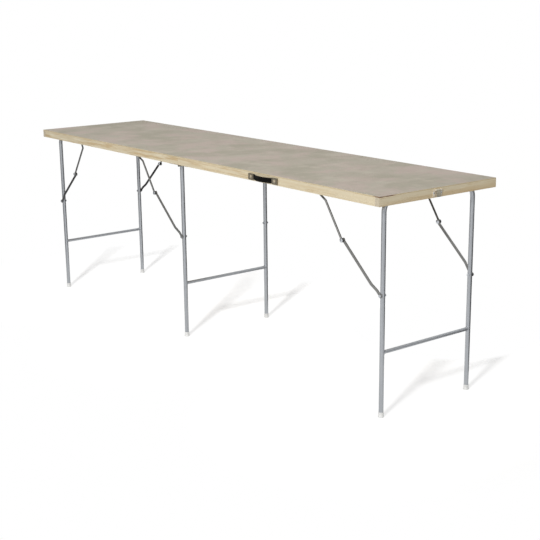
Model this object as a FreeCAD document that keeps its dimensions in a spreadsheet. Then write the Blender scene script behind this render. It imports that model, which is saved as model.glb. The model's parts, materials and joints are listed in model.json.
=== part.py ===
import FreeCAD, Part
import Sketcher
import math
import os
import re

# Folding table in two hinged halves on three folding leg frames. Millimetres, Z up, floor at zero.
# X runs along the table, Y across it; the fold lies at X zero and the handle is on the -Y side.

DRIVING = [
    ("table_length", 2500),
    ("table_width", 600),
    ("table_height", 838),
    ("sheet_thickness", 4),
    ("rail_height", 32),
    ("rail_thickness", 22),
    ("seam_gap", 0.6),
    ("left_leg_inset", 47),
    ("right_leg_inset", 50),
    ("middle_leg_offset", 76),
    ("leg_spread", 458),
    ("tube_diameter", 18),
    ("tube_wall", 1.2),
    ("bend_radius", 27),
    ("right_bend_radius", 52),
    ("thin_batten", 6),
    ("thick_batten", 26.5),
    ("batten_reach", 30),
    ("side_clearance", 0.3),
    ("fit_clearance", 0.08),
    ("crossbar_height", 249),
    ("crossbar_diameter", 14),
    ("foot_height", 20),
    ("foot_base_diameter", 22),
    ("foot_base_height", 6),
    ("foot_sleeve", 1.3),
    ("foot_floor", 3),
    ("saddle_thickness", 1.5),
    ("saddle_width", 20),
    ("saddle_offset", 120),
    ("saddle_flange", 12),
    ("brace_bolt_height", 464),
    ("brace_reach", 313),
    ("brace_pivot_drop", 16),
    ("knee_stow_drop", 28),
    ("over_centre_slack", 3.5),
    ("link_thickness", 4),
    ("link_width", 11),
    ("eye_diameter", 16),
    ("lower_joggle", 7.6),
    ("lower_joggle_start", 26),
    ("lower_joggle_end", 56),
    ("stop_lug_length", 5),
    ("rod_diameter", 8),
    ("rod_bend_distance", 54),
    ("rod_end_distance", 18),
    ("knee_rivet_diameter", 6),
    ("rivet_head_diameter", 11),
    ("rivet_head_height", 2.5),
    ("bolt_diameter", 6),
    ("bolt_head_diameter", 11),
    ("bolt_head_height", 3.5),
    ("pivot_screw_diameter", 5),
    ("pivot_screw_depth", 15),
    ("leaf_length", 70),
    ("leaf_width", 18),
    ("leaf_thickness", 1.5),
    ("knuckle_diameter", 8),
    ("middle_knuckle", 6.4),
    ("hinge_pin_diameter", 4),
    ("screw_diameter", 3),
    ("screw_head_diameter", 6.4),
    ("screw_head_height", 1.8),
    ("screw_depth", 14),
    ("saddle_screw_depth", 5.5),
    ("handle_position", 23),
    ("handle_length", 180),
    ("handle_drop", 19),
    ("cap_length", 32),
    ("cap_height", 24),
    ("cap_thickness", 7),
    ("strap_width", 20),
    ("strap_thickness", 3.5),
    ("strap_rise", 16),
    ("handle_screw_inset", 16),
    ("handle_screw_diameter", 4),
    ("handle_screw_head_diameter", 9),
    ("handle_screw_head_height", 3),
    ("latch_shift", 15),
    ("latch_width", 48),
    ("latch_height", 26),
    ("latch_plate", 1.2),
    ("latch_top_drop", 2),
    ("latch_screw_spread", 37),
    ("lever_width", 20),
    ("lever_thickness", 1.6),
    ("lever_length", 24),
    ("lever_lip", 5),
    ("latch_knuckle_diameter", 6),
    ("latch_knuckle_length", 6),
    ("latch_pin_diameter", 3),
    ("keeper_width", 30),
    ("keeper_height", 20),
    ("keeper_screw_spread", 20),
    ("keeper_hook", 5),
]

DERIVED = [
    ("half_length", "table_length / 2"),
    ("half_width", "table_width / 2"),
    ("half_gap", "seam_gap / 2"),
    ("sheet_bottom", "table_height - sheet_thickness"),
    ("rail_bottom", "sheet_bottom - rail_height"),
    ("rail_inside", "half_width - rail_thickness"),
    ("end_inside", "half_length - rail_thickness"),
    ("tube_radius", "tube_diameter / 2"),
    ("bore_radius", "tube_radius - tube_wall"),
    ("leg_side", "leg_spread / 2"),
    ("left_leg_x", "half_length - left_leg_inset"),
    ("right_leg_x", "half_length - right_leg_inset"),
    ("high_pivot", "sheet_bottom - thin_batten - side_clearance - tube_radius"),
    ("low_pivot", "sheet_bottom - thick_batten - side_clearance - tube_radius"),
    ("saddle_inner", "tube_radius + side_clearance"),
    ("saddle_outer", "saddle_inner + saddle_thickness"),
    ("saddle_screw_x", "saddle_outer + saddle_flange / 2"),
    ("brace_pivot", "sheet_bottom - brace_pivot_drop"),
    ("knee_stow", "sheet_bottom - knee_stow_drop"),
    ("brace_rise", "brace_pivot - brace_bolt_height"),
    ("brace_chord", "sqrt(brace_reach ^ 2 + brace_rise ^ 2)"),
    ("brace_total", "brace_chord + over_centre_slack"),
    ("stow_fall", "brace_pivot - knee_stow"),
    ("eye_radius", "eye_diameter / 2"),
    ("rod_radius", "rod_diameter / 2"),
    ("lower_inner", "leg_side + tube_radius + side_clearance"),
    ("lower_outer", "lower_inner + link_thickness"),
    ("knee_inner", "lower_inner + lower_joggle"),
    ("upper_knee", "knee_inner + link_thickness + side_clearance"),
    ("rod_low_side", "upper_knee + 0.6 * rod_diameter"),
    ("upper_top", "rail_inside - side_clearance - link_thickness"),
    ("rod_high_side", "upper_top + link_thickness - 0.6 * rod_diameter"),
    ("leaf_top", "rail_bottom"),
    ("knuckle_radius", "knuckle_diameter / 2"),
    ("hinge_height", "rail_bottom - knuckle_radius - side_clearance"),
    ("hinge_side", "half_width - rail_thickness / 2"),
    ("leaf_start", "knuckle_radius + side_clearance"),
    ("outer_knuckle", "(leaf_width - middle_knuckle) / 2 - side_clearance"),
    ("handle_x", "half_length / 2 - handle_position"),
    ("handle_height", "table_height - handle_drop"),
    ("handle_half", "handle_length / 2"),
    ("strap_half", "handle_half - cap_length"),
    ("strap_radius", "strap_half ^ 2 / (2 * strap_rise) + strap_rise / 2"),
    ("strap_centre", "sqrt(strap_radius ^ 2 - strap_half ^ 2) - strap_thickness / 2"),
    ("latch_top", "sheet_bottom - latch_top_drop"),
    ("latch_knuckle_radius", "latch_knuckle_diameter / 2"),
    ("latch_pivot_height", "latch_top - latch_knuckle_radius"),
    ("latch_pivot_out", "latch_plate + side_clearance + latch_knuckle_radius"),
    ("keeper_centre", "latch_top - latch_height / 2"),
]

# The lengths of a brace's links follow from its leg's pivot height: the links meet at the knee with the
# leg upright, and again at the stowed knee with the leg folded flat.
for level in ("high", "low"):
    DERIVED += [
        (level + "_arm", f"{level}_pivot - brace_bolt_height"),
        (level + "_lag", f"brace_reach - {level}_arm"),
        (
            level + "_lower",
            f"(brace_total ^ 2 - {level}_lag ^ 2 - stow_fall ^ 2) / (2 * (brace_total + {level}_lag))",
        ),
        (level + "_upper", f"brace_total - {level}_lower"),
        (
            level + "_along",
            f"({level}_lower ^ 2 - {level}_upper ^ 2 + brace_chord ^ 2) / (2 * brace_chord)",
        ),
        (level + "_bow", f"sqrt({level}_lower ^ 2 - {level}_along ^ 2)"),
        (
            level + "_knee_out",
            f"({level}_along * brace_reach + {level}_bow * brace_rise) / brace_chord",
        ),
        (
            level + "_knee_up",
            f"({level}_along * brace_rise - {level}_bow * brace_reach) / brace_chord",
        ),
    ]

doc = FreeCAD.newDocument("folding_table")
dims = doc.addObject("Spreadsheet::Sheet", "Dims")
worked = doc.addObject("Spreadsheet::Sheet", "Worked")
HOMES = {}


def ex(text):
    """Puts the sheet's name before each size named in a formula."""
    return re.sub(r"[a-z]\w*", lambda word: HOMES.get(word.group(), "") + word.group(), str(text))


for row, (alias, value) in enumerate(DRIVING, start=1):
    dims.set(f"A{row}", alias)
    dims.set(f"B{row}", str(value))
    dims.setAlias(f"B{row}", alias)
    HOMES[alias] = "Dims."
doc.recompute()
for row, (alias, formula) in enumerate(DERIVED, start=1):
    worked.set(f"A{row}", alias)
    worked.set(f"B{row}", "=" + ex(formula).replace("Worked.", ""))
    worked.setAlias(f"B{row}", alias)
    HOMES[alias] = "Worked."
    doc.recompute()

X_AXIS = FreeCAD.Rotation(FreeCAD.Vector(0, 1, 0), 90)
Y_AXIS = FreeCAD.Rotation(FreeCAD.Vector(1, 0, 0), -90)
Z_AXIS = FreeCAD.Rotation()
TURNS = {"x": X_AXIS, "y": Y_AXIS, "z": Z_AXIS}
SUBPARTS = []


def size(alias):
    """Reads a size from the sheet it is kept in."""
    home = dims if HOMES[alias] == "Dims." else worked
    return float(home.get(alias))


def bind(thing, **formulas):
    for name, formula in formulas.items():
        thing.setExpression(name, ex(formula))


def put(thing, at, turn=None):
    """Places a primitive: its turn is fixed and its base point is bound to the sheet."""
    thing.Placement = FreeCAD.Placement(FreeCAD.Vector(), turn or FreeCAD.Rotation())
    for axis, formula in zip("xyz", at):
        thing.setExpression("Placement.Base." + axis, ex(formula))
    return thing


def box(lengths, at):
    thing = doc.addObject("Part::Box", "Box")
    bind(thing, Length=lengths[0], Width=lengths[1], Height=lengths[2])
    return put(thing, at)


def rod(radius, length, at, axis="z"):
    thing = doc.addObject("Part::Cylinder", "Rod")
    bind(thing, Radius=radius, Height=length)
    return put(thing, at, TURNS[axis])


def taper(low_radius, high_radius, length, at):
    thing = doc.addObject("Part::Cone", "Taper")
    bind(thing, Radius1=low_radius, Radius2=high_radius, Height=length)
    return put(thing, at)


def ball(radius, at):
    thing = doc.addObject("Part::Sphere", "Ball")
    bind(thing, Radius=radius)
    return put(thing, at)


def quarter_bend(radius, tube, at, side):
    """A quarter of a ring in the YZ plane, from the outer side of a leg up to the top run."""
    thing = doc.addObject("Part::Torus", "Bend")
    bind(thing, Radius1=radius, Radius2=tube)
    thing.Angle3 = 90
    return put(thing, at, FreeCAD.Rotation(FreeCAD.Vector(1, side, side), 120))


def fuse(things):
    thing = doc.addObject("Part::MultiFuse", "Joined")
    thing.Shapes = things
    thing.Refine = True
    return thing


def cut(base, tools):
    thing = doc.addObject("Part::Cut", "Cut")
    thing.Base = base
    thing.Tool = tools[0] if len(tools) == 1 else fuse(tools)
    return thing


def common(first, second):
    thing = doc.addObject("Part::Common", "Common")
    thing.Base = first
    thing.Tool = second
    return thing


def group(things):
    thing = doc.addObject("Part::Compound", "Group")
    thing.Links = things
    return thing


def subpart(label, thing):
    thing.Label = label
    SUBPARTS.append(thing)
    return thing


def polygon_pad(points, width):
    """A body padded to both sides of the XY plane from an outline whose corners are bound to the sheet."""
    body = doc.addObject("PartDesign::Body", "Body")
    sketch = body.newObject("Sketcher::SketchObject", "Outline")
    plane = [feature for feature in body.Origin.OriginFeatures if feature.Role == "XY_Plane"][0]
    sketch.AttachmentSupport = [(plane, "")]
    sketch.MapMode = "FlatFace"
    worked_points = [FreeCAD.Vector(*[evaluate(c) for c in point], 0) for point in points]
    count = len(points)
    for i in range(count):
        sketch.addGeometry(Part.LineSegment(worked_points[i], worked_points[(i + 1) % count]))
    for i in range(count):
        sketch.addConstraint(Sketcher.Constraint("Coincident", i, 2, (i + 1) % count, 1))
    for i, point in enumerate(points):
        for kind, formula, number in zip(("DistanceX", "DistanceY"), point, worked_points[i]):
            index = sketch.addConstraint(Sketcher.Constraint(kind, -1, 1, i, 1, number))
            sketch.setExpression(f"Constraints[{index}]", ex(formula))
    pad = body.newObject("PartDesign::Pad", "Pad")
    pad.Profile = sketch
    pad.Midplane = True
    bind(pad, Length=width)
    return body


def evaluate(formula):
    """Works a formula of sizes out as a number."""
    return float(worked.evalExpression(ex(formula)))


def screw(at, way, axis, shank, depth, head, head_height, grip="0"):
    """A screw whose head sits at a point; its shank runs the other way from the head, through the grip."""
    index = "xyz".index(axis)
    head_at = list(at)
    shank_at = list(at)
    if way > 0:
        shank_at[index] = f"{at[index]} - ({depth}) - ({grip})"
    else:
        head_at[index] = f"{at[index]} - ({head_height})"
    return fuse(
        [
            rod(f"{head} / 2", head_height, head_at, axis),
            rod(f"{shank} / 2", f"{depth} + ({grip})", shank_at, axis),
        ]
    )


def bore(at, way, axis, diameter, depth):
    """The hole for a screw: it starts at a face and runs away from the head."""
    start = list(at)
    index = "xyz".index(axis)
    if way > 0:
        start[index] = f"{at[index]} - ({depth})"
    return rod(f"{diameter} / 2", depth, start, axis)


# Where the braces, handle, hinges and latch are screwed on.
FRAMES = {
    "left": {
        "x": "-left_leg_x",
        "bend": "bend_radius",
        "fold": 1,
        "level": "low",
        "half": "left",
        "sides": (-1, 1),
    },
    "middle": {
        "x": "-middle_leg_offset",
        "bend": "bend_radius",
        "fold": -1,
        "level": "high",
        "half": "left",
        "sides": (-1,),
    },
    "right": {
        "x": "right_leg_x",
        "bend": "right_bend_radius",
        "fold": -1,
        "level": "high",
        "half": "right",
        "sides": (-1, 1),
    },
}
HALVES = {"left": -1, "right": 1}
SIDE_NAMES = {-1: "front", 1: "back"}
LEAF_SCREWS = ("leaf_length * 0.4", "leaf_length * 0.85")


def brace_pivot_points(half, side):
    """Where the brace pivot screws of one half meet the inner face of one rail."""
    return [
        (f"{f['x']} + ({f['fold']}) * brace_reach", f"({side}) * rail_inside", "brace_pivot")
        for f in FRAMES.values()
        if f["half"] == half and side in f["sides"]
    ]


def leaf_screw_points(half, side):
    """Where the hinge screws of one half meet the underside of one rail."""
    way = HALVES[half]
    return [(f"({way}) * ({x})", f"({side}) * hinge_side", "rail_bottom") for x in LEAF_SCREWS]


def handle_screw_points():
    return [
        (f"handle_x + ({way}) * (handle_half - handle_screw_inset)", "-half_width", "handle_height")
        for way in (-1, 1)
    ]


def end_screw_points(half):
    """Where the latch or keeper screws meet the outer face of an end rail."""
    way = HALVES[half]
    spread = "latch_screw_spread" if half == "right" else "keeper_screw_spread"
    return [
        (f"({way}) * half_length", f"({k}) * {spread} / 2 - latch_shift", "keeper_centre")
        for k in (-1, 1)
    ]


def make_half(half):
    """The sheet and the rails of one half, drilled for what is screwed to them."""
    way = HALVES[half]
    low_x = "-half_length" if way < 0 else "half_gap"
    low_rail = "-end_inside" if way < 0 else "half_gap"
    subpart(
        f"{half}_top_sheet",
        box(
            ("half_length - half_gap", "table_width", "sheet_thickness"),
            (low_x, "-half_width", "sheet_bottom"),
        ),
    )
    for side, name in SIDE_NAMES.items():
        low_y = "-half_width" if side < 0 else "rail_inside"
        rail = box(
            ("end_inside - half_gap", "rail_thickness", "rail_height"),
            (low_rail, low_y, "rail_bottom"),
        )
        holes = [
            bore(point, -side, "y", "pivot_screw_diameter", "pivot_screw_depth")
            for point in brace_pivot_points(half, side)
        ]
        holes += [
            bore(point, -1, "z", "screw_diameter", "screw_depth")
            for point in leaf_screw_points(half, side)
        ]
        if half == "right" and side < 0:
            holes += [
                bore(point, -1, "y", "handle_screw_diameter", "screw_depth")
                for point in handle_screw_points()
            ]
        subpart(f"{half}_{name}_rail", cut(rail, holes))
    end_low = "-half_length" if way < 0 else "end_inside"
    end_rail = box(
        ("rail_thickness", "table_width", "rail_height"),
        (end_low, "-half_width", "rail_bottom"),
    )
    end_holes = [
        bore(point, way, "x", "screw_diameter", "screw_depth") for point in end_screw_points(half)
    ]
    subpart(f"{half}_end_rail", cut(end_rail, end_holes))
    fold_low = "-half_gap - rail_thickness" if way < 0 else "half_gap"
    subpart(
        f"{half}_fold_rail",
        box(
            ("rail_thickness", "2 * rail_inside", "rail_height"),
            (fold_low, "-rail_inside", "rail_bottom"),
        ),
    )


def saddle_screw_points(frame):
    """Where a frame's saddle screws meet the underside of its batten."""
    f = FRAMES[frame]
    under = f"{f['level']}_pivot + saddle_inner"
    return [
        (f"{f['x']} + ({k}) * saddle_screw_x", f"({side}) * saddle_offset", under)
        for side in (-1, 1)
        for k in (-1, 1)
    ]


def make_saddles(frame):
    """The batten under the sheet that carries a leg frame, its two saddles and their screws."""
    f = FRAMES[frame]
    thickness = "thick_batten" if f["level"] == "low" else "thin_batten"
    under = f"{f['level']}_pivot + saddle_inner"
    low_x = {
        "left": "-end_inside",
        "middle": f"{f['x']} - batten_reach",
        "right": f"{f['x']} - batten_reach",
    }[frame]
    length = {
        "left": "end_inside - left_leg_x + batten_reach",
        "middle": "2 * batten_reach",
        "right": "end_inside - right_leg_x + batten_reach",
    }[frame]
    batten = box((length, "2 * rail_inside", thickness), (low_x, "-rail_inside", under))
    holes = [
        bore(point, -1, "z", "screw_diameter", "saddle_screw_depth")
        for point in saddle_screw_points(frame)
    ]
    subpart(f"{frame}_leg_batten", cut(batten, holes))

    saddles = []
    for side in (-1, 1):
        low_y = f"({side}) * saddle_offset - saddle_width / 2"
        outside = fuse(
            [
                rod("saddle_outer", "saddle_width", (f["x"], low_y, f"{f['level']}_pivot"), "y"),
                box(
                    ("2 * saddle_outer", "saddle_width", "saddle_inner"),
                    (f"{f['x']} - saddle_outer", low_y, f"{f['level']}_pivot"),
                ),
                box(
                    (
                        "2 * (saddle_outer + saddle_flange)",
                        "saddle_width",
                        "saddle_thickness",
                    ),
                    (
                        f"{f['x']} - saddle_outer - saddle_flange",
                        low_y,
                        f"{under} - saddle_thickness",
                    ),
                ),
            ]
        )
        inside = fuse(
            [
                rod("saddle_inner", "saddle_width", (f["x"], low_y, f"{f['level']}_pivot"), "y"),
                box(
                    ("2 * saddle_inner", "saddle_width", "saddle_inner"),
                    (f"{f['x']} - saddle_inner", low_y, f"{f['level']}_pivot"),
                ),
                box(
                    ("2 * saddle_outer", "saddle_width", "saddle_outer"),
                    (f"{f['x']} - saddle_outer", low_y, under),
                ),
            ]
        )
        flange_holes = [
            bore(
                (x, y, f"{z} - saddle_thickness"), -1, "z", "screw_diameter", "saddle_thickness"
            )
            for x, y, z in saddle_screw_points(frame)
            if y.startswith(f"({side})")
        ]
        saddles.append(cut(outside, [inside] + flange_holes))
    subpart(f"{frame}_saddles", group(saddles))
    screws = [
        screw(
            (x, y, f"{z} - saddle_thickness"),
            -1,
            "z",
            "screw_diameter",
            "saddle_screw_depth",
            "screw_head_diameter",
            "screw_head_height",
            "saddle_thickness",
        )
        for x, y, z in saddle_screw_points(frame)
    ]
    subpart(f"{frame}_saddle_screws", group(screws))


def make_frame(frame):
    """A leg frame: one bent tube, its crossbar, its two feet and its two brace bolts."""
    f = FRAMES[frame]
    x = f["x"]
    bend = f["bend"]
    pivot = f"{f['level']}_pivot"

    def bent_solid(radius):
        things = [
            rod(
                radius,
                f"2 * (leg_side - {bend})",
                (x, f"-(leg_side - {bend})", pivot),
                "y",
            )
        ]
        for side in (-1, 1):
            things.append(
                rod(
                    radius,
                    f"{pivot} - {bend} - foot_floor",
                    (x, f"({side}) * leg_side", "foot_floor"),
                )
            )
            things.append(
                quarter_bend(
                    bend,
                    radius,
                    (x, f"({side}) * (leg_side - {bend})", f"{pivot} - {bend}"),
                    side,
                )
            )
        return fuse(things)

    bolt_hole = rod(
        "bolt_diameter / 2",
        "2 * (leg_side + tube_diameter)",
        (x, "-leg_side - tube_diameter", "brace_bolt_height"),
        "y",
    )
    subpart(
        f"{frame}_leg_frame", cut(bent_solid("tube_radius"), [bent_solid("bore_radius"), bolt_hole])
    )

    bar = rod("crossbar_diameter / 2", "leg_spread", (x, "-leg_side", "crossbar_height"), "y")
    bar_bore = rod(
        "crossbar_diameter / 2 - tube_wall", "leg_spread", (x, "-leg_side", "crossbar_height"), "y"
    )
    leg_solids = [
        rod(
            "tube_radius",
            "2 * crossbar_diameter",
            (x, f"({side}) * leg_side", "crossbar_height - crossbar_diameter"),
        )
        for side in (-1, 1)
    ]
    subpart(f"{frame}_crossbar", cut(bar, leg_solids + [bar_bore]))

    feet = []
    bolts = []
    for side in (-1, 1):
        y = f"({side}) * leg_side"
        outside = fuse(
            [
                rod("foot_base_diameter / 2", "foot_base_height", (x, y, "0")),
                taper(
                    "foot_base_diameter / 2",
                    "tube_radius + foot_sleeve",
                    "foot_height - foot_base_height",
                    (x, y, "foot_base_height"),
                ),
            ]
        )
        feet.append(cut(outside, [rod("tube_radius", "foot_height", (x, y, "foot_floor"))]))
        outer = "lower_outer + side_clearance" if side in f["sides"] else "leg_side + tube_radius"
        inner = "leg_side - tube_radius"
        low_y = inner if side > 0 else f"-({outer})"
        head_starts = (f"{inner} - bolt_head_height", outer)
        heads = [
            rod(
                "bolt_head_diameter / 2",
                "bolt_head_height",
                (
                    x,
                    start if side > 0 else f"-({start}) - bolt_head_height",
                    "brace_bolt_height",
                ),
                "y",
            )
            for start in head_starts
        ]
        shank = rod(
            "bolt_diameter / 2", f"{outer} - ({inner})", (x, low_y, "brace_bolt_height"), "y"
        )
        bolts.append(fuse([shank] + heads))
    subpart(f"{frame}_feet", group(feet))
    subpart(f"{frame}_brace_bolts", group(bolts))


def place_link(thing, frame, side, out, up, lean):
    """Stands a link at its pivot: its length leans from the vertical, its thickness faces outwards."""
    f = FRAMES[frame]
    along = FreeCAD.Vector(f["fold"] * math.sin(lean), 0, math.cos(lean))
    outward = FreeCAD.Vector(0, side, 0)
    turn = FreeCAD.Rotation(along, outward, along.cross(outward), "XYZ")
    thing.Placement = FreeCAD.Placement(FreeCAD.Vector(), turn)
    bind(
        thing,
        **{
            "Placement.Base.x": f"{f['x']} + ({f['fold']}) * ({out})",
            "Placement.Base.z": up,
        },
    )


def make_lower_link(frame, side):
    """A flat bar from the leg's bolt to the knee, set outwards on its way, with a lug that stops the knee."""
    f = FRAMES[frame]
    level = f["level"]
    length = level + "_lower"
    lug_way = f["fold"] * side
    bar = polygon_pad(
        [
            ("0", "lower_inner"),
            ("lower_joggle_start", "lower_inner"),
            ("lower_joggle_end", "knee_inner"),
            (length, "knee_inner"),
            (length, "knee_inner + link_thickness"),
            ("lower_joggle_end", "knee_inner + link_thickness"),
            ("lower_joggle_start", "lower_outer"),
            ("0", "lower_outer"),
        ],
        "link_width",
    )
    lug_low = "0" if lug_way > 0 else "-eye_radius"
    solid = fuse(
        [
            bar,
            rod("eye_radius", "link_thickness", ("0", "lower_inner", "0"), "y"),
            rod("eye_radius", "link_thickness", (length, "knee_inner", "0"), "y"),
            box(
                ("stop_lug_length + eye_radius / 2", "link_thickness", "eye_radius"),
                (f"{length} - eye_radius / 2", "knee_inner", lug_low),
            ),
        ]
    )
    holes = [
        rod(
            "bolt_diameter / 2 + fit_clearance",
            "2 * link_thickness",
            ("0", "lower_inner - link_thickness / 2", "0"),
            "y",
        ),
        rod(
            "knee_rivet_diameter / 2",
            "2 * link_thickness",
            (length, "knee_inner - link_thickness / 2", "0"),
            "y",
        ),
    ]
    link = cut(solid, holes)
    lean = math.atan2(size(level + "_knee_out"), size(level + "_knee_up"))
    place_link(link, frame, side, "0", "brace_bolt_height", lean)
    subpart(f"{frame}_{SIDE_NAMES[side]}_lower_link", link)


def make_upper_link(frame, side):
    """A rod from the knee up to its screw on the rail, bent outwards near the top, with flattened ends."""
    f = FRAMES[frame]
    level = f["level"]
    length = level + "_upper"
    slope = doc.addObject("Part::Cylinder", "Slope")
    bind(
        slope,
        Radius="rod_radius",
        Height="sqrt((rod_bend_distance - rod_end_distance) ^ 2 + (rod_high_side - rod_low_side) ^ 2)",
    )
    rise = size("rod_high_side") - size("rod_low_side")
    run = size("rod_bend_distance") - size("rod_end_distance")
    put(
        slope,
        ("rod_bend_distance", "rod_low_side", "0"),
        FreeCAD.Rotation(FreeCAD.Vector(0, 0, 1), FreeCAD.Vector(-run, rise, 0)),
    )
    solid = fuse(
        [
            rod("eye_radius", "link_thickness", ("0", "upper_top", "0"), "y"),
            box(
                ("rod_end_distance", "link_thickness", "link_width"),
                ("0", "upper_top", "-link_width / 2"),
            ),
            ball("rod_radius", ("rod_end_distance", "rod_high_side", "0")),
            slope,
            ball("rod_radius", ("rod_bend_distance", "rod_low_side", "0")),
            rod(
                "rod_radius",
                f"{length} - rod_bend_distance - knee_rivet_diameter",
                ("rod_bend_distance", "rod_low_side", "0"),
                "x",
            ),
            rod("eye_radius", "link_thickness", (length, "upper_knee", "0"), "y"),
            rod(
                "rivet_head_diameter / 2",
                "link_thickness + rivet_head_height",
                (length, "upper_knee", "0"),
                "y",
            ),
        ]
    )
    hole = rod(
        "pivot_screw_diameter / 2 + fit_clearance",
        "2 * link_thickness",
        ("0", "upper_top - link_thickness / 2", "0"),
        "y",
    )
    link = cut(solid, [hole])
    back = size("brace_reach") - size(level + "_knee_out")
    fall = size("brace_rise") - size(level + "_knee_up")
    lean = math.pi + math.atan2(back, fall)
    place_link(link, frame, side, "brace_reach", "brace_pivot", lean)
    subpart(f"{frame}_{SIDE_NAMES[side]}_upper_link", link)


def make_pivot_screws(half):
    """The screws on which the upper links turn, driven into the inner faces of the rails."""
    grip = "rail_inside - upper_top + side_clearance"
    screws = []
    for side in (-1, 1):
        for x, y, z in brace_pivot_points(half, side):
            at = (x, f"{y} - ({side}) * ({grip})", z)
            screws.append(
                screw(
                    at,
                    -side,
                    "y",
                    "pivot_screw_diameter",
                    "pivot_screw_depth",
                    "bolt_head_diameter",
                    "bolt_head_height",
                    grip,
                )
            )
    subpart(f"{half}_brace_screws", group(screws))


def make_hinge_leaves(half):
    """The two hinge leaves of one half: the left leaf has the outer knuckles, the right one the middle."""
    way = HALVES[half]
    screws = []
    for side, name in SIDE_NAMES.items():
        centre = f"({side}) * hinge_side"
        plate_low = "-leaf_length" if way < 0 else "leaf_start"
        things = [
            box(
                ("leaf_length - leaf_start", "leaf_width", "leaf_thickness"),
                (plate_low, f"{centre} - leaf_width / 2", "leaf_top - leaf_thickness"),
            )
        ]
        if way < 0:
            spans = [
                (f"{centre} - leaf_width / 2", "outer_knuckle"),
                (f"{centre} + leaf_width / 2 - outer_knuckle", "outer_knuckle"),
            ]
        else:
            spans = [(f"{centre} - middle_knuckle / 2", "middle_knuckle")]
        for low_y, span in spans:
            things.append(rod("knuckle_radius", span, ("0", low_y, "hinge_height"), "y"))
            tab_low = "-leaf_start" if way < 0 else "0"
            things.append(
                box(
                    ("leaf_start", span, "leaf_thickness"),
                    (tab_low, low_y, "leaf_top - leaf_thickness - side_clearance"),
                )
            )
        holes = [
            rod(
                "hinge_pin_diameter / 2 + fit_clearance",
                "2 * leaf_width",
                ("0", f"{centre} - leaf_width", "hinge_height"),
                "y",
            )
        ]
        for x, y, z in leaf_screw_points(half, side):
            face = (x, y, f"{z} - leaf_thickness")
            holes.append(bore(face, -1, "z", "screw_diameter", "leaf_thickness"))
            screws.append(
                screw(
                    face,
                    -1,
                    "z",
                    "screw_diameter",
                    "screw_depth",
                    "screw_head_diameter",
                    "screw_head_height",
                    "leaf_thickness",
                )
            )
        subpart(f"{half}_hinge_leaf_{name}", cut(fuse(things), holes))
    subpart(f"{half}_hinge_screws", group(screws))


def make_hinge_pins():
    pins = [
        rod(
            "hinge_pin_diameter / 2",
            "leaf_width",
            ("0", f"({side}) * hinge_side - leaf_width / 2", "hinge_height"),
            "y",
        )
        for side in (-1, 1)
    ]
    subpart("hinge_pins", group(pins))


def make_handle():
    """A bowed strap held at each end under a cap that is screwed to the right front rail.

    Its middle lies handle_position from the middle of the half, towards the fold.
    """
    low_z = "handle_height - strap_width / 2"
    ring = cut(
        rod(
            "strap_radius + strap_thickness / 2",
            "strap_width",
            ("handle_x", "strap_centre - half_width", low_z),
        ),
        [
            rod(
                "strap_radius - strap_thickness / 2",
                "strap_width",
                ("handle_x", "strap_centre - half_width", low_z),
            )
        ],
    )
    window = box(
        ("2 * strap_half", "2 * strap_rise", "strap_width"),
        ("handle_x - strap_half", "-half_width - 2 * strap_rise", low_z),
    )
    things = [common(ring, window)]
    holes = []
    for way, (x, y, z) in zip((-1, 1), handle_screw_points()):
        tab = f"{'-' if way < 0 else ''}handle_half"
        tab_low = f"{tab} + cap_thickness / 2" if way < 0 else "strap_half - side_clearance"
        tab_low = f"handle_x + {tab_low}"
        things.append(
            box(
                ("cap_length - cap_thickness / 2 + side_clearance", "strap_thickness", "strap_width"),
                (tab_low, "-half_width - strap_thickness", low_z),
            )
        )
        holes.append(
            bore((x, f"{y} - cap_thickness", z), -1, "y", "handle_screw_diameter", "cap_thickness")
        )
        cap_low = "-handle_half" if way < 0 else "handle_half - cap_length"
        cap = box(
            ("cap_length", "cap_thickness", "cap_height"),
            (
                f"handle_x + {cap_low}",
                "-half_width - cap_thickness",
                "handle_height - cap_height / 2",
            ),
        )
        slot_low = "-handle_half + cap_thickness / 2" if way < 0 else "handle_half - cap_length"
        slot = box(
            ("cap_length - cap_thickness / 2", "strap_thickness", "strap_width"),
            (f"handle_x + {slot_low}", "-half_width - strap_thickness", low_z),
        )
        name = "left" if way < 0 else "right"
        subpart(f"handle_cap_{name}", cut(cap, [slot, holes[-1]]))
    subpart("handle_strap", cut(fuse(things), holes))
    screws = [
        screw(
            (x, f"{y} - cap_thickness", z),
            -1,
            "y",
            "handle_screw_diameter",
            "screw_depth",
            "handle_screw_head_diameter",
            "handle_screw_head_height",
            "cap_thickness",
        )
        for x, y, z in handle_screw_points()
    ]
    subpart("handle_screws", group(screws))


def make_end_screws(half, label):
    way = HALVES[half]
    screws = [
        screw(
            (f"{x} + ({way}) * latch_plate", y, z),
            way,
            "x",
            "screw_diameter",
            "screw_depth",
            "screw_head_diameter",
            "screw_head_height",
            "latch_plate",
        )
        for x, y, z in end_screw_points(half)
    ]
    subpart(label, group(screws))


def end_plate_holes(half):
    way = HALVES[half]
    return [
        bore((f"{x} + ({way}) * latch_plate", y, z), way, "x", "screw_diameter", "latch_plate")
        for x, y, z in end_screw_points(half)
    ]


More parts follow.
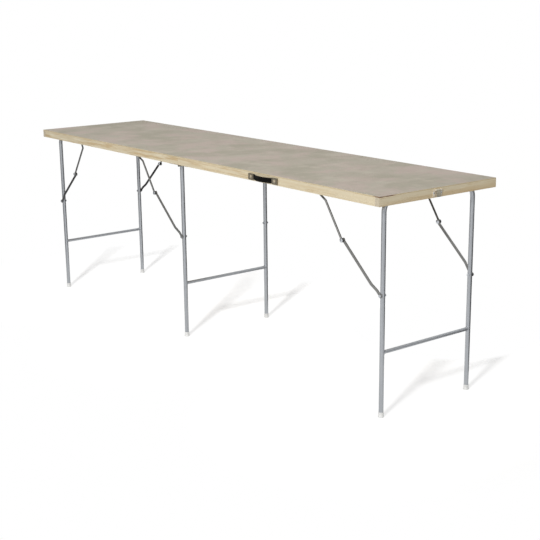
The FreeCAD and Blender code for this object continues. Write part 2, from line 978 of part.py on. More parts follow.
def make_latch():
    """The latch on the right end: a plate with two knuckles, a pin, and a lever with a lip to pull."""
    pivot = ("half_length + latch_pivot_out", "-latch_shift", "latch_pivot_height")
    lug_starts = (
        "lever_width / 2 + side_clearance",
        "-lever_width / 2 - side_clearance - latch_knuckle_length",
    )
    plate = box(
        ("latch_plate", "latch_width", "latch_height"),
        ("half_length", "-latch_shift - latch_width / 2", "latch_top - latch_height"),
    )
    things = [plate]
    for start in lug_starts:
        low_y = f"{start} - latch_shift"
        things.append(
            rod("latch_knuckle_radius", "latch_knuckle_length", (pivot[0], low_y, pivot[2]), "y")
        )
        things.append(
            box(
                ("latch_pivot_out", "latch_knuckle_length", "latch_plate"),
                ("half_length", low_y, "latch_top - latch_plate"),
            )
        )
    pin_length = "lever_width + 2 * (side_clearance + latch_knuckle_length)"
    pin_low = f"-latch_shift - ({pin_length}) / 2"
    hole = rod(
        "latch_pin_diameter / 2 + fit_clearance", pin_length, (pivot[0], pin_low, pivot[2]), "y"
    )
    subpart("latch_base", cut(fuse(things), [hole] + end_plate_holes("right")))
    subpart(
        "latch_pin", rod("latch_pin_diameter / 2", pin_length, (pivot[0], pin_low, pivot[2]), "y")
    )
    lever_low = "-latch_shift - lever_width / 2"
    lever = fuse(
        [
            rod("latch_knuckle_radius", "lever_width", (pivot[0], lever_low, pivot[2]), "y"),
            box(
                ("lever_thickness", "lever_width", "lever_length"),
                (
                    f"{pivot[0]} + latch_knuckle_radius - lever_thickness",
                    lever_low,
                    f"{pivot[2]} - lever_length",
                ),
            ),
            box(
                ("lever_lip", "lever_width", "lever_thickness"),
                (
                    f"{pivot[0]} + latch_knuckle_radius - lever_thickness",
                    lever_low,
                    f"{pivot[2]} - lever_length",
                ),
            ),
        ]
    )
    lever_hole = rod(
        "latch_pin_diameter / 2 + fit_clearance",
        "2 * lever_width",
        (pivot[0], f"{lever_low} - lever_width / 2", pivot[2]),
        "y",
    )
    subpart("latch_lever", cut(lever, [lever_hole]))
    make_end_screws("right", "latch_screws")


def make_keeper():
    """The keeper on the left end: a plate with a hook that the latch lever draws on."""
    low_y = "-latch_shift - keeper_width / 2"
    plate = box(
        ("latch_plate", "keeper_width", "keeper_height"),
        ("-half_length - latch_plate", low_y, "keeper_centre - keeper_height / 2"),
    )
    hook_low = "-latch_shift - keeper_width / 6"
    shelf = box(
        ("keeper_hook", "keeper_width / 3", "latch_plate"),
        ("-half_length - latch_plate - keeper_hook", hook_low, "keeper_centre"),
    )
    tip = box(
        ("latch_plate", "keeper_width / 3", "keeper_hook"),
        ("-half_length - latch_plate - keeper_hook", hook_low, "keeper_centre"),
    )
    subpart("latch_keeper", cut(fuse([plate, shelf, tip]), end_plate_holes("left")))
    make_end_screws("left", "keeper_screws")


for half_name in HALVES:
    make_half(half_name)
    make_pivot_screws(half_name)
    make_hinge_leaves(half_name)
make_hinge_pins()
for frame_name, frame_facts in FRAMES.items():
    make_saddles(frame_name)
    make_frame(frame_name)
    for brace_side in frame_facts["sides"]:
        make_lower_link(frame_name, brace_side)
        make_upper_link(frame_name, brace_side)
make_handle()
make_latch()
make_keeper()
doc.recompute()

for thing in doc.Objects:
    if "Invalid" in thing.State or "Error" in thing.State:
        raise RuntimeError(f"{thing.Label} did not build")
os.makedirs("parts", exist_ok=True)
for thing in SUBPARTS:
    if thing.Shape.isNull() or not thing.Shape.isValid():
        raise RuntimeError(f"{thing.Label} has no valid shape")
    thing.Shape.exportStep(f"parts/{thing.Label}.step")
print(len(SUBPARTS), "sub-parts written")
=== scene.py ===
import json
import math

import bmesh
import bpy
from mathutils import Matrix, Vector, noise


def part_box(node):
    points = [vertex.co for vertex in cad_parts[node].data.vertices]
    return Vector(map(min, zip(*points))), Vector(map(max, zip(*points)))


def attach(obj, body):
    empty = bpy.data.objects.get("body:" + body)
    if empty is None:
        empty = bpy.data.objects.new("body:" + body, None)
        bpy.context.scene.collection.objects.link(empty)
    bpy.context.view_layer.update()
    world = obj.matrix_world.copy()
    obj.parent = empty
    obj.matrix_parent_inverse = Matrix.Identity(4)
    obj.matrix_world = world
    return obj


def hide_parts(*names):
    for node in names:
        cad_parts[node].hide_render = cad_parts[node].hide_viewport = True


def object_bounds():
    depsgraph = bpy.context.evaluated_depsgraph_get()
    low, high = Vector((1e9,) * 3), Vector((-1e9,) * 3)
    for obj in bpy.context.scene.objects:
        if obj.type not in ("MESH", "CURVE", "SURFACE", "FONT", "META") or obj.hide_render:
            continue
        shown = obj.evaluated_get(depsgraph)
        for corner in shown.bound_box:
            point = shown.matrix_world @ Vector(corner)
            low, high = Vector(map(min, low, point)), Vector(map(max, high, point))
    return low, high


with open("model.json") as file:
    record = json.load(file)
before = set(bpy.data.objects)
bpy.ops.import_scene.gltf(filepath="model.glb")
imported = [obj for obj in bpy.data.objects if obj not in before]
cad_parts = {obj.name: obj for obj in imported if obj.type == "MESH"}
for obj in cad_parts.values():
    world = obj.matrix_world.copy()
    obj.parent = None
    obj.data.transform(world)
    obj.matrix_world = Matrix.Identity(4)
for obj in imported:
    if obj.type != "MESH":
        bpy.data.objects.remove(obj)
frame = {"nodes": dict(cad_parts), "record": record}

bl_info = {
    "name": "Folding Table Finish",
    "version": (1, 0, 0),
    "blender": (4, 5, 0),
    "location": "3D View > Sidebar > Table",
    "description": "Dresses a long folding table whose halves close like a case",
    "category": "Object",
}

CAD_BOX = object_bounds()
NODES = frame["nodes"]
BODY_OF = {
    node: body
    for body, nodes in frame["record"]["behaviour"]["bodies"].items()
    for node in nodes
}
FRAMES = ("left", "middle", "right")
HALVES = ("left", "right")
SIDES = ("front", "back")
QUARTER_TURN = math.radians(90)
SMOOTH_ANGLE = math.radians(32)

# A wave texture repeats after this length over its scale
WAVE_PER_PITCH = math.pi / 10


def srgb(red, green, blue):
    """A colour as it is seen on screen, turned into the scene's linear values."""
    out = []
    for level in (red, green, blue):
        share = level / 255
        out.append(share / 12.92 if share <= 0.04045 else ((share + 0.055) / 1.055) ** 2.4)
    return tuple(out)


def colour(name, description, default):
    return bpy.props.FloatVectorProperty(
        name=name, description=description, subtype="COLOR", size=3, min=0, max=1, default=default
    )


def length(name, description, default):
    return bpy.props.FloatProperty(
        name=name, description=description, unit="LENGTH", min=0, default=default, precision=5
    )


def number(name, description, default):
    return bpy.props.FloatProperty(name=name, description=description, min=0, default=default)


class TableColours(bpy.types.PropertyGroup):
    board: colour("Board", "Upper face of the top boards", srgb(182, 175, 160))
    board_rose: colour("Board rose", "Warmer patches of the boards", srgb(191, 177, 166))
    board_moss: colour("Board moss", "Greyer patches of the boards", srgb(174, 168, 152))
    board_pale: colour("Board streak", "Paler streaks across the boards", srgb(194, 186, 171))
    board_edge: colour("Board edge", "Cut edge of the top boards", srgb(203, 186, 150))
    board_under: colour("Board underside", "Lower face of the top boards", srgb(158, 134, 102))
    # Colour of the darker patches on the cut edge near the front corner of the latch end
    board_edge_dark: colour("Board stain", "Dark stretches of the boards' cut edge", srgb(128, 98, 78))
    pine: colour("Pine", "Early wood of the rails", srgb(217, 206, 179))
    pine_late: colour("Late wood", "Darker growth lines of the rails", srgb(190, 163, 119))
    pine_gold: colour("Gold streak", "Resinous streaks of the rails", srgb(193, 169, 130))
    pine_sap: colour("Sapwood", "Pale streaks of the rails", srgb(230, 222, 200))
    pine_end: colour("End grain", "Cut ends of the end rails", srgb(194, 185, 166))
    zinc: colour("Zinc", "Plated leg tube", srgb(165, 168, 172))
    brace: colour("Brace steel", "Dark steel of the braces", srgb(130, 130, 128))
    brace_rod: colour("Brace rod", "Upper rods of the braces", srgb(98, 98, 96))
    # Painted shade: a near-black copy of the brace steel for links that lie in shade
    black_brace: colour("Black brace steel", "Blackened links of the far legs", srgb(60, 60, 60))
    foot: colour("Foot", "White moulded feet", srgb(240, 240, 238))
    strap: colour("Strap", "Black carrying strap", srgb(11, 10, 9))
    nickel: colour("Nickel", "Strap caps", srgb(128, 120, 104))
    latch_lever: colour("Latch lever", "Plated lever of the latch", srgb(186, 179, 161))
    latch: colour("Latch plate", "Latch and keeper", srgb(226, 215, 196))
    dull_steel: colour("Dull steel", "Hinges and saddles", srgb(126, 124, 118))


class TableSizes(bpy.types.PropertyGroup):
    board_ease: length("Board easing", "Rounding of the boards' edges", 0.0006)
    rail_ease: length("Rail easing", "Rounding of the rails' edges", 0.0010)
    metal_ease: length("Metal easing", "Rounding of plates and links", 0.0004)
    cap_ease: length("Cap easing", "Rounding of the strap's caps", 0.0020)
    bolt_ease: length("Bolt easing", "Rounding of the brace bolts", 0.0005)
    strap_bead: length("Strap bead", "Height of the beads along the strap's edges", 0.0007)
    weld_radius: length("Weld radius", "Thickness of the weld round a crossbar's end", 0.0017)
    foot_lip: length("Foot lip", "Rounding of the feet", 0.0014)
    knee_dome: length("Knee dome", "Height of the rivet's dome inside a knee", 0.0022)


class TableStage(bpy.types.PropertyGroup):
    sky: number("Sky", "Plain light from all round", 0.31)
    key: number("Key lamp", "Power of the lamp that casts the shadows, in watts", 372.0)
    floor_key: number("Floor key", "Power of the lamp that lights the floor alone, in watts", 420.0)
    floor_key_size: length("Floor key size", "Side of the lamp that lights the floor alone", 0.8)
    key_size: length("Key size", "Side of the lamp that casts the shadows", 0.7)
    fill: number("Overhead lamp", "Power of the broad lamp above, in watts", 38.0)
    fill_size: length("Overhead size", "Side of the broad lamp above", 3.0)
    floor_veil: number("Floor veil", "How much the white floor hides of its shadows by the feet", 0.74)
    floor_gain: number("Floor gain", "Level at which the lit floor is seen as plain white", 0.935)
    end_fill: number("End fill", "Power of the soft lamp that evens the latch end, in watts", 0.8)
    end_fill_size: length("End fill size", "Side of the soft lamp by the latch end", 0.8)
    flag_grey: number("Flag grey", "Shade of the dark flags that edge the metal", 0.05)
    lens: number("Lens", "Focal length on a 36 mm sensor, in millimetres", 74.114)


# Small mesh tools


def add_object(name, mesh, materials, body, replaced=()):
    """Puts a finished mesh in the scene, on the body that carries it."""
    thing = bpy.data.objects.new(name, mesh)
    bpy.context.scene.collection.objects.link(thing)
    for material in materials:
        mesh.materials.append(material)
    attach(thing, body)
    if replaced:
        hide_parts(*replaced)
    return thing


def mesh_from(bm, name, crease=SMOOTH_ANGLE):
    """Turns a bmesh into a mesh that shades smoothly up to an angle."""
    bmesh.ops.recalc_face_normals(bm, faces=bm.faces)
    mesh = bpy.data.meshes.new(name)
    bm.to_mesh(mesh)
    bm.free()
    for polygon in mesh.polygons:
        polygon.use_smooth = True
    mesh.set_sharp_from_angle(angle=crease)
    return mesh


def solid_of(node):
    """The node's own solid as a bmesh, joined up along its edges."""
    bm = bmesh.new()
    bm.from_mesh(NODES[node].data)
    bmesh.ops.remove_doubles(bm, verts=bm.verts, dist=2e-6)
    return bm


def islands(node):
    """The lowest corner, highest corner and points of each separate solid of a node."""
    bm = solid_of(node)
    bm.verts.ensure_lookup_table()
    seen = set()
    found = []
    for start in bm.verts:
        if start in seen:
            continue
        seen.add(start)
        pool = [start]
        points = []
        while pool:
            vert = pool.pop()
            points.append(vert.co.copy())
            for edge in vert.link_edges:
                other = edge.other_vert(vert)
                if other not in seen:
                    seen.add(other)
                    pool.append(other)
        low = Vector([min(p[i] for p in points) for i in range(3)])
        high = Vector([max(p[i] for p in points) for i in range(3)])
        found.append((low, high, points))
    bm.free()
    return sorted(found, key=lambda island: tuple(island[0]))


def eased_node(node, ease, materials, pick=None, crease=SMOOTH_ANGLE):
    """The node's shape with its sharp edges rounded, in place of the node."""
    flat_angle = math.radians(0.5)
    sharp_angle = math.radians(35)
    bm = solid_of(node)
    bmesh.ops.dissolve_limit(bm, angle_limit=flat_angle, verts=bm.verts, edges=bm.edges)
    if ease > 0:
        sharp = [
            edge for edge in bm.edges if edge.is_manifold and edge.calc_face_angle(0) > sharp_angle
        ]
        shape = {"offset_type": "OFFSET", "segments": 2, "profile": 0.5, "clamp_overlap": True}
        bmesh.ops.bevel(bm, geom=sharp, offset=ease, affect="EDGES", **shape)
    bmesh.ops.recalc_face_normals(bm, faces=bm.faces)
    if pick:
        bm.normal_update()
        for face in bm.faces:
            face.material_index = pick(face)
    mesh = mesh_from(bm, node + "_form", crease)
    thing = add_object(node + "_finish", mesh, materials, BODY_OF[node], [node])
    if ease > 0:
        even = thing.modifiers.new("even_shading", "WEIGHTED_NORMAL")
        even.keep_sharp = True
    return thing


def circle(radius, steps):
    turns = [2 * math.pi * k / steps for k in range(steps)]
    return [(radius * math.cos(turn), radius * math.sin(turn)) for turn in turns]


def corners(low_a, high_a, low_b, high_b):
    """The four corners of a rectangle in order, from its limits along two axes."""
    return (low_a, low_b), (high_a, low_b), (high_a, high_b), (low_a, high_b)


def turned(profile, steps):
    """A closed turned form round Z from radius and height pairs that start and end on the axis."""
    bm = bmesh.new()
    rings = []
    for radius, height in profile:
        spots = circle(radius, steps) if radius else [(0, 0)]
        rings.append([bm.verts.new((*spot, height)) for spot in spots])
    for low, high in zip(rings, rings[1:]):
        for k in range(steps):
            after = k + 1
            around = (
                low[k % len(low)],
                low[after % len(low)],
                high[after % len(high)],
                high[k % len(high)],
            )
            distinct = list(dict.fromkeys(around))
            if len(distinct) > 2:
                bm.faces.new(distinct)
    return bm


def swept(path, sides, ups, profile, closed):
    """A form made by carrying a closed profile along a path; sides and ups orient it at each point."""
    bm = bmesh.new()
    rings = []
    for point, side, up in zip(path, sides, ups):
        rings.append([bm.verts.new(point + side * across + up * rise) for across, rise in profile])
    count = len(profile)
    pairs = list(zip(rings, rings[1:]))
    if closed:
        pairs.append((rings[-1], rings[0]))
    for first, second in pairs:
        for k in range(count):
            bm.faces.new((first[k], first[(k + 1) % count], second[(k + 1) % count], second[k]))
    if not closed:
        bm.faces.new(list(reversed(rings[0])))
        bm.faces.new(rings[-1])
    return bm


def gather(pieces):
    """Joins several placed bmeshes into one."""
    whole = bmesh.new()
    for bm, placement in pieces:
        holder = bpy.data.meshes.new("holder")
        bm.to_mesh(holder)
        bm.free()
        holder.transform(placement)
        whole.from_mesh(holder)
        bpy.data.meshes.remove(holder)
    return whole


def facing(direction):
    """A turn that takes +Z to a direction."""
    return direction.to_track_quat("Z", "Y").to_matrix().to_4x4()


# Shader node groups


def new_group(name, inputs, outputs):
    """An empty shader node group with named sockets; each is (name, kind, default)."""
    group = bpy.data.node_groups.new(name, "ShaderNodeTree")
    for label, kind, default in inputs:
        socket = group.interface.new_socket(name=label, in_out="INPUT", socket_type=kind)
        if default is not None:
            socket.default_value = default
    for label, kind in outputs:
        group.interface.new_socket(name=label, in_out="OUTPUT", socket_type=kind)
    inside = group.nodes.new("NodeGroupInput")
    outside = group.nodes.new("NodeGroupOutput")
    return group, inside, outside


def add_node(tree, kind, settings=None, **inputs):
    """Adds a node, sets its options and links or fills its sockets."""
    node = tree.nodes.new(kind)
    for option, value in (settings or {}).items():
        setattr(node, option, value)
    for label, value in inputs.items():
        socket = node.inputs[int(label[1:])] if label[0] == "_" else node.inputs[label.replace("_", " ")]
        if isinstance(value, bpy.types.NodeSocket):
            tree.links.new(value, socket)
        else:
            socket.default_value = value
    return node


def numbered(values):
    """Names the values of sockets that are known by their place."""
    return {f"_{place}": value for place, value in enumerate(values)}


def sums(tree, operation, *values, clamp=False):
    """The result of one step of arithmetic; each value is a number or a socket."""
    settings = {"operation": operation, "use_clamp": clamp}
    return add_node(tree, "ShaderNodeMath", settings, **numbered(values)).outputs[0]


def mixed_shader(tree, amount, first, second):
    return add_node(tree, "ShaderNodeMixShader", **numbered((amount, first, second))).outputs[0]


def laid(tree, vector, **changes):
    """A vector that is moved, turned or stretched."""
    return add_node(tree, "ShaderNodeMapping", Vector=vector, **changes).outputs[0]


def clouds(tree, vector, scale, detail, roughness):
    """Soft noise round 0.5."""
    look = {"Scale": scale, "Detail": detail, "Roughness": roughness}
    return add_node(tree, "ShaderNodeTexNoise", Vector=vector, **look).outputs["Fac"]


def cells(tree, vector, scale, feature="F1"):
    """Small specks: the distance to the nearest of many points."""
    node = add_node(tree, "ShaderNodeTexVoronoi", {"feature": feature}, Vector=vector, Scale=scale)
    return node.outputs["Distance"]


def tone(tree, first, second, amount):
    """Mixes two colours; each is a colour or a socket."""
    mix = add_node(tree, "ShaderNodeMix", {"data_type": "RGBA"}, _0=amount, _6=first, _7=second)
    return mix.outputs[2]


def shaded(tree, tint, level):
    """A colour made darker or paler by a level round 1."""
    return add_node(tree, "ShaderNodeVectorMath", {"operation": "SCALE"}, _0=tint, Scale=level).outputs[0]


def band(tree, value, low, high, to_low, to_high, kind="SMOOTHSTEP"):
    """Spreads a part of a mask's range over a new range, with soft ends unless it is linear."""
    ranges = {"From_Min": low, "From_Max": high, "To_Min": to_low, "To_Max": to_high}
    settings = {"interpolation_type": kind}
    return add_node(tree, "ShaderNodeMapRange", settings, Value=value, **ranges).outputs[0]


def nearest_gap(tree, place, points):
    """Distance from a place to the nearest of some points."""
    nearest = None
    for point in points:
        gap = add_node(tree, "ShaderNodeVectorMath", {"operation": "DISTANCE"}, _0=place, _1=point)
        gap = gap.outputs["Value"]
        nearest = sums(tree, "MINIMUM", nearest, gap) if nearest else gap
    return nearest


def timber_group():
    """Growth lines, fibres and slow drift of solid wood whose grain runs along the vector's X."""
    if "Timber Grain" in bpy.data.node_groups:
        return bpy.data.node_groups["Timber Grain"]
    group, inside, outside = new_group(
        "Timber Grain",
        [
            ("Vector", "NodeSocketVector", None),
            ("Ring Pitch", "NodeSocketFloat", 0.005),
            ("Waver", "NodeSocketFloat", 5.0),
        ],
        [("Lines", "NodeSocketFloat"), ("Fibres", "NodeSocketFloat"), ("Drift", "NodeSocketFloat")],
    )
    vector = inside.outputs["Vector"]
    rings = add_node(
        group,
        "ShaderNodeTexWave",
        {"wave_type": "RINGS", "rings_direction": "X", "wave_profile": "SIN"},
        Vector=laid(group, vector, Location=(0.11, 0.074, -0.63), Scale=(0.035, 1, 1)),
        Scale=sums(group, "DIVIDE", WAVE_PER_PITCH, inside.outputs["Ring Pitch"]),
        Distortion=inside.outputs["Waver"],
        Detail=2.0,
        Detail_Scale=0.35,
        Detail_Roughness=0.55,
    )
    late_wood = sums(group, "POWER", rings.outputs["Fac"], 2.2)
    fibres = clouds(group, laid(group, vector, Scale=(14, 620, 620)), 1.0, 3.0, 0.6)
    drift = clouds(group, laid(group, vector, Scale=(2.6, 26, 26)), 1.0, 2.0, 0.5)
    for name, value in (("Lines", late_wood), ("Fibres", fibres), ("Drift", drift)):
        group.links.new(value, outside.inputs[name])
    return group


def plating_group():
    """Drawn lines along Z, cloudy patches and small specks on plated or painted metal."""
    if "Plating" in bpy.data.node_groups:
        return bpy.data.node_groups["Plating"]
    group, inside, outside = new_group(
        "Plating",
        [
            ("Vector", "NodeSocketVector", None),
            ("Base", "NodeSocketColor", (0.5, 0.5, 0.5, 1)),
            ("Cloud", "NodeSocketFloat", 0.15),
            ("Drawn", "NodeSocketFloat", 0.1),
            ("Roughness", "NodeSocketFloat", 0.4),
        ],
        [("Color", "NodeSocketColor"), ("Roughness", "NodeSocketFloat"), ("Height", "NodeSocketFloat")],
    )
    vector = inside.outputs["Vector"]
    drawn = clouds(group, laid(group, vector, Scale=(260, 260, 1.2)), 1.0, 3.0, 0.65)
    level = 0.5
    for mask, share in ((clouds(group, vector, 38.0, 4.0, 0.6), "Cloud"), (drawn, "Drawn")):
        swing = sums(group, "SUBTRACT", mask, 0.5)
        level = sums(group, "MULTIPLY_ADD", swing, inside.outputs[share], level)
    tint = shaded(group, inside.outputs["Base"], sums(group, "MULTIPLY", level, 2.0))
    swing = sums(group, "MULTIPLY_ADD", drawn, 0.2, -0.1)
    rough = sums(group, "ADD", inside.outputs["Roughness"], swing, clamp=True)
    height = sums(group, "MULTIPLY_ADD", cells(group, vector, 420.0), 0.3, drawn)
    for name, value in (("Color", tint), ("Roughness", rough), ("Height", height)):
        group.links.new(value, outside.inputs[name])
    return group


# Materials


def start_material(name):
    """A new node material with its shader and object coordinates."""
    material = bpy.data.materials.new(name)
    material.use_nodes = True
    tree = material.node_tree
    shader = tree.nodes["Principled BSDF"]
    place = tree.nodes.new("ShaderNodeTexCoord")
    return material, tree, shader, place.outputs["Object"]


def use_group(tree, group, **inputs):
    return add_node(tree, "ShaderNodeGroup", {"node_tree": group}, **inputs)


def cover(tree, shader, tint, roughness, gloss=None):
    """Gives a shader its colour and roughness over the surface, and its gloss if one is named."""
    tree.links.new(tint, shader.inputs["Base Color"])
    tree.links.new(roughness, shader.inputs["Roughness"])
    if gloss is not None:
        shader.inputs["Specular IOR Level"].default_value = gloss


def roughen(tree, shader, height, strength, distance):
    bump = add_node(tree, "ShaderNodeBump", Strength=strength, Distance=distance, Height=height)
    tree.links.new(bump.outputs[0], shader.inputs["Normal"])


def flat(value):
    return (*value, 1.0)


def paler(value, times):
    return tuple(min(1, level * times) for level in value)


def board_face_material():
    """Smooth grey board: soft patches, streaks across the table and fine flecks."""
    colours = bpy.context.scene.table_colours
    material, tree, shader, place = start_material("board_face")
    sheet = laid(tree, place, Scale=(1.0, 0.9, 1.0))
    rose = clouds(tree, sheet, 8.0, 5.0, 0.6)
    moss = clouds(tree, laid(tree, sheet, Location=(3.1, 1.7, 0.4)), 5.0, 6.0, 0.62)
    pale = clouds(tree, laid(tree, sheet, Location=(-1.3, 4.2, 0.9)), 11.0, 6.0, 0.65)
    across = laid(tree, place, Rotation=(0, 0, QUARTER_TURN))
    grain = use_group(tree, timber_group(), Vector=across, Ring_Pitch=0.03, Waver=9.0)
    coat = flat(colours.board)
    for patch, mask, low, high, most in (
        (colours.board_rose, rose, 0.42, 0.6, 1.0),
        (colours.board_moss, moss, 0.45, 0.64, 1.0),
        (colours.board_pale, pale, 0.5, 0.7, 0.8),
        (colours.board_pale, grain.outputs["Drift"], 0.54, 0.74, 0.22),
    ):
        coat = tone(tree, coat, flat(patch), band(tree, mask, low, high, 0.0, most))
    flecks = band(tree, grain.outputs["Fibres"], 0.3, 0.7, 0.965, 1.035)
    cover(tree, shader, shaded(tree, coat, flecks), band(tree, moss, 0.3, 0.7, 0.62, 0.74), 0.18)
    roughen(tree, shader, grain.outputs["Fibres"], 0.1, 0.0003)
    return material


def board_core_material(name, base, pale, edge_dark):
    """Pressed fibre of the board's cut edge or underside, darker in patches near the front corner of the
    latch end.
    """
    dark_inset = 0.046
    screen_pitch = 0.0022
    material, tree, shader, place = start_material(name)
    clumps = clouds(tree, place, 55.0, 6.0, 0.7)
    fibres = cells(tree, place, 700.0)
    coat = tone(tree, flat(base), flat(pale), band(tree, clumps, 0.35, 0.7, 0.0, 0.3))
    wires = []
    for way in ("X", "Y"):
        wire = add_node(
            tree,
            "ShaderNodeTexWave",
            {"bands_direction": way},
            Vector=place,
            Scale=WAVE_PER_PITCH / screen_pitch,
            Distortion=0.6,
        )
        wires.append(wire.outputs["Fac"])
    screen = sums(tree, "MAXIMUM", *wires)
    # darker in patches near the front corner of the latch end
    dark_spot = Vector((CAD_BOX[1][0], CAD_BOX[0][1] + dark_inset, CAD_BOX[1][2]))
    darkened = band(tree, nearest_gap(tree, place, [dark_spot]), 0.034, 0.06, 1.0, 0.0)
    patchy = sums(tree, "MULTIPLY", darkened, band(tree, clumps, 0.3, 0.5, 0.4, 1.0))
    coat = tone(tree, coat, flat(edge_dark), patchy)
    flecks = band(tree, fibres, 0.1, 0.7, 1.04, 0.94)
    cover(tree, shader, shaded(tree, coat, flecks), band(tree, clumps, 0.3, 0.7, 0.72, 0.86), 0.25)
    roughen(tree, shader, sums(tree, "MULTIPLY_ADD", screen, 0.8, fibres), 0.3, 0.0004)
    return material


def pine_material(name, turn, figure):
    """Planed softwood: growth lines that close into rings on the cut ends, and resinous streaks.

    The figure says how strong and broad the streaks are.
    """
    colours = bpy.context.scene.table_colours
    material, tree, shader, place = start_material(name)
    along = laid(tree, place, Rotation=(0, 0, turn))
    grain = use_group(tree, timber_group(), Vector=along, Ring_Pitch=0.0075, Waver=11.0)
    strength = band(tree, grain.outputs["Drift"], 0.4, 0.7, 0.08, 0.5)
    lines = sums(tree, "MULTIPLY", grain.outputs["Lines"], strength)
    lines = sums(tree, "MULTIPLY_ADD", grain.outputs["Fibres"], 0.3, lines, clamp=True)
    streaks = clouds(tree, laid(tree, along, Scale=(5.5, 95, 95)), 1.0, 4.0, 0.62)
    dark_from = 0.6 - 0.1 * figure
    dark_full = 0.74 - 0.12 * figure
    dark = band(tree, streaks, dark_from, dark_full, 0.0, 0.5 + 0.4 * figure)
    pale = band(tree, streaks, 0.34 + 0.12 * figure, 0.3, 0.0, 0.7 * figure)
    coat = tone(tree, flat(colours.pine), flat(colours.pine_late), lines)
    coat = tone(tree, coat, flat(colours.pine_gold), dark)
    coat = tone(tree, coat, flat(colours.pine_sap), pale)
    slow = band(tree, clouds(tree, place, 3.0, 3.0, 0.55), 0.3, 0.7, 0.97, 1.03)
    rough = band(tree, grain.outputs["Lines"], 0.0, 1.0, 0.6, 0.74)
    cover(tree, shader, shaded(tree, coat, slow), rough, 0.3)
    roughen(tree, shader, grain.outputs["Fibres"], 0.25, 0.0004)
    return material


def end_grain_material():
    """Sawn end of a cross rail: darker, with growth rings cut across."""
    colours = bpy.context.scene.table_colours
    material, tree, shader, place = start_material("pine_end")
    across = laid(tree, place, Rotation=(0, 0, QUARTER_TURN))
    grain = use_group(tree, timber_group(), Vector=across, Ring_Pitch=0.005, Waver=6.0)
    pores = clouds(tree, place, 400.0, 3.0, 0.6)
    rings = band(tree, grain.outputs["Lines"], 0.2, 0.9, 0.0, 0.5)
    coat = tone(tree, flat(colours.pine_end), flat(colours.pine_late), rings)
    coat = shaded(tree, coat, band(tree, pores, 0.35, 0.65, 0.93, 1.04))
    cover(tree, shader, coat, band(tree, pores, 0.3, 0.7, 0.76, 0.88), 0.2)
    roughen(tree, shader, pores, 0.3, 0.0003)
    return material


def moulded_material(name, base, roughness, gloss, grain_scale, grain_depth):
    """Moulded plastic with a fine grain and faint scuffs."""
    material, tree, shader, place = start_material(name)
    grain = cells(tree, place, grain_scale, "SMOOTH_F1")
    scuff = clouds(tree, place, 60.0, 5.0, 0.65)
    level = band(tree, scuff, 0.3, 0.75, 0.94, 1.06, "LINEAR")
    rough = band(tree, scuff, 0.0, 1.0, roughness - 0.08, roughness + 0.1, "LINEAR")
    cover(tree, shader, shaded(tree, base, level), rough, gloss)
    roughen(tree, shader, grain, 0.35, grain_depth)
    return material


# The metal finishes: a named colour, how much paler it is, and how it is plated or painted
METALS = {
    "zinc_tube": dict(tint="zinc", roughness=0.3, metallic=0.85, cloud=0.08, drawn=0.5),
    "zinc_bar": dict(
        tint="zinc", roughness=0.36, metallic=0.85, cloud=0.08, drawn=0.5, turn=QUARTER_TURN
    ),
    "bright_zinc": dict(tint="zinc", times=1.5, roughness=0.26, metallic=1.0, cloud=0.2),
    "brace_steel": dict(tint="brace", roughness=0.42, metallic=0.6, cloud=0.12),
    "brace_rod": dict(tint="brace_rod", roughness=0.42, metallic=0.6, cloud=0.12),
    # painted shade: the brace steel made near-black
    "black_brace_steel": dict(tint="black_brace", roughness=0.45, metallic=0.4, cloud=0.2),
    "cap_plate": dict(tint="nickel", roughness=0.36, metallic=0.7, cloud=0.4),
    "cap_screw": dict(tint="nickel", times=2.2, roughness=0.42, metallic=0.6, cloud=0.2),
    "latch_plate": dict(tint="latch", roughness=0.46, metallic=0.6, cloud=0.3),
    "lever_plate": dict(tint="latch_lever", roughness=0.46, metallic=0.6, cloud=0.3),
    "dull_steel": dict(tint="dull_steel", roughness=0.45, metallic=0.9, cloud=0.35),
}


def metal(name):
    """One of the metal finishes, with drawn lines that run along Z unless it is turned."""
    if name in bpy.data.materials:
        return bpy.data.materials[name]
    look = METALS[name]
    base = paler(getattr(bpy.context.scene.table_colours, look["tint"]), look.get("times", 1))
    material, tree, shader, place = start_material(name)
    plating = use_group(
        tree,
        plating_group(),
        Vector=laid(tree, place, Rotation=(look.get("turn", 0), 0, 0)),
        Base=flat(base),
        Cloud=look["cloud"],
        Drawn=look.get("drawn", 0.1),
        Roughness=look["roughness"],
    )
    coat = plating.outputs["Color"]
    # the caps get a painted highlight round their screws
    if name == "cap_plate":
        coat = caps_painted_highlight(tree, place, coat)
    cover(tree, shader, coat, plating.outputs["Roughness"])
    shader.inputs["Metallic"].default_value = look["metallic"]
    roughen(tree, shader, plating.outputs["Height"], 0.06, 0.0002)
    return material


def caps_painted_highlight(tree, place, coat):
    """Painted highlight: the strap's caps are made paler round the faces of their screws."""
    heads = [
        Vector(((low.x + high.x) / 2, low.y, (low.z + high.z) / 2))
        for low, high, _ in islands("handle_screws")
    ]
    highlight_share = band(tree, nearest_gap(tree, place, heads), 0.005, 0.013, 0.8, 0.0)
    bright = paler(bpy.context.scene.table_colours.nickel, METALS["cap_screw"]["times"])
    return tone(tree, coat, flat(bright), highlight_share)


# Operators: one for each piece or group of like pieces


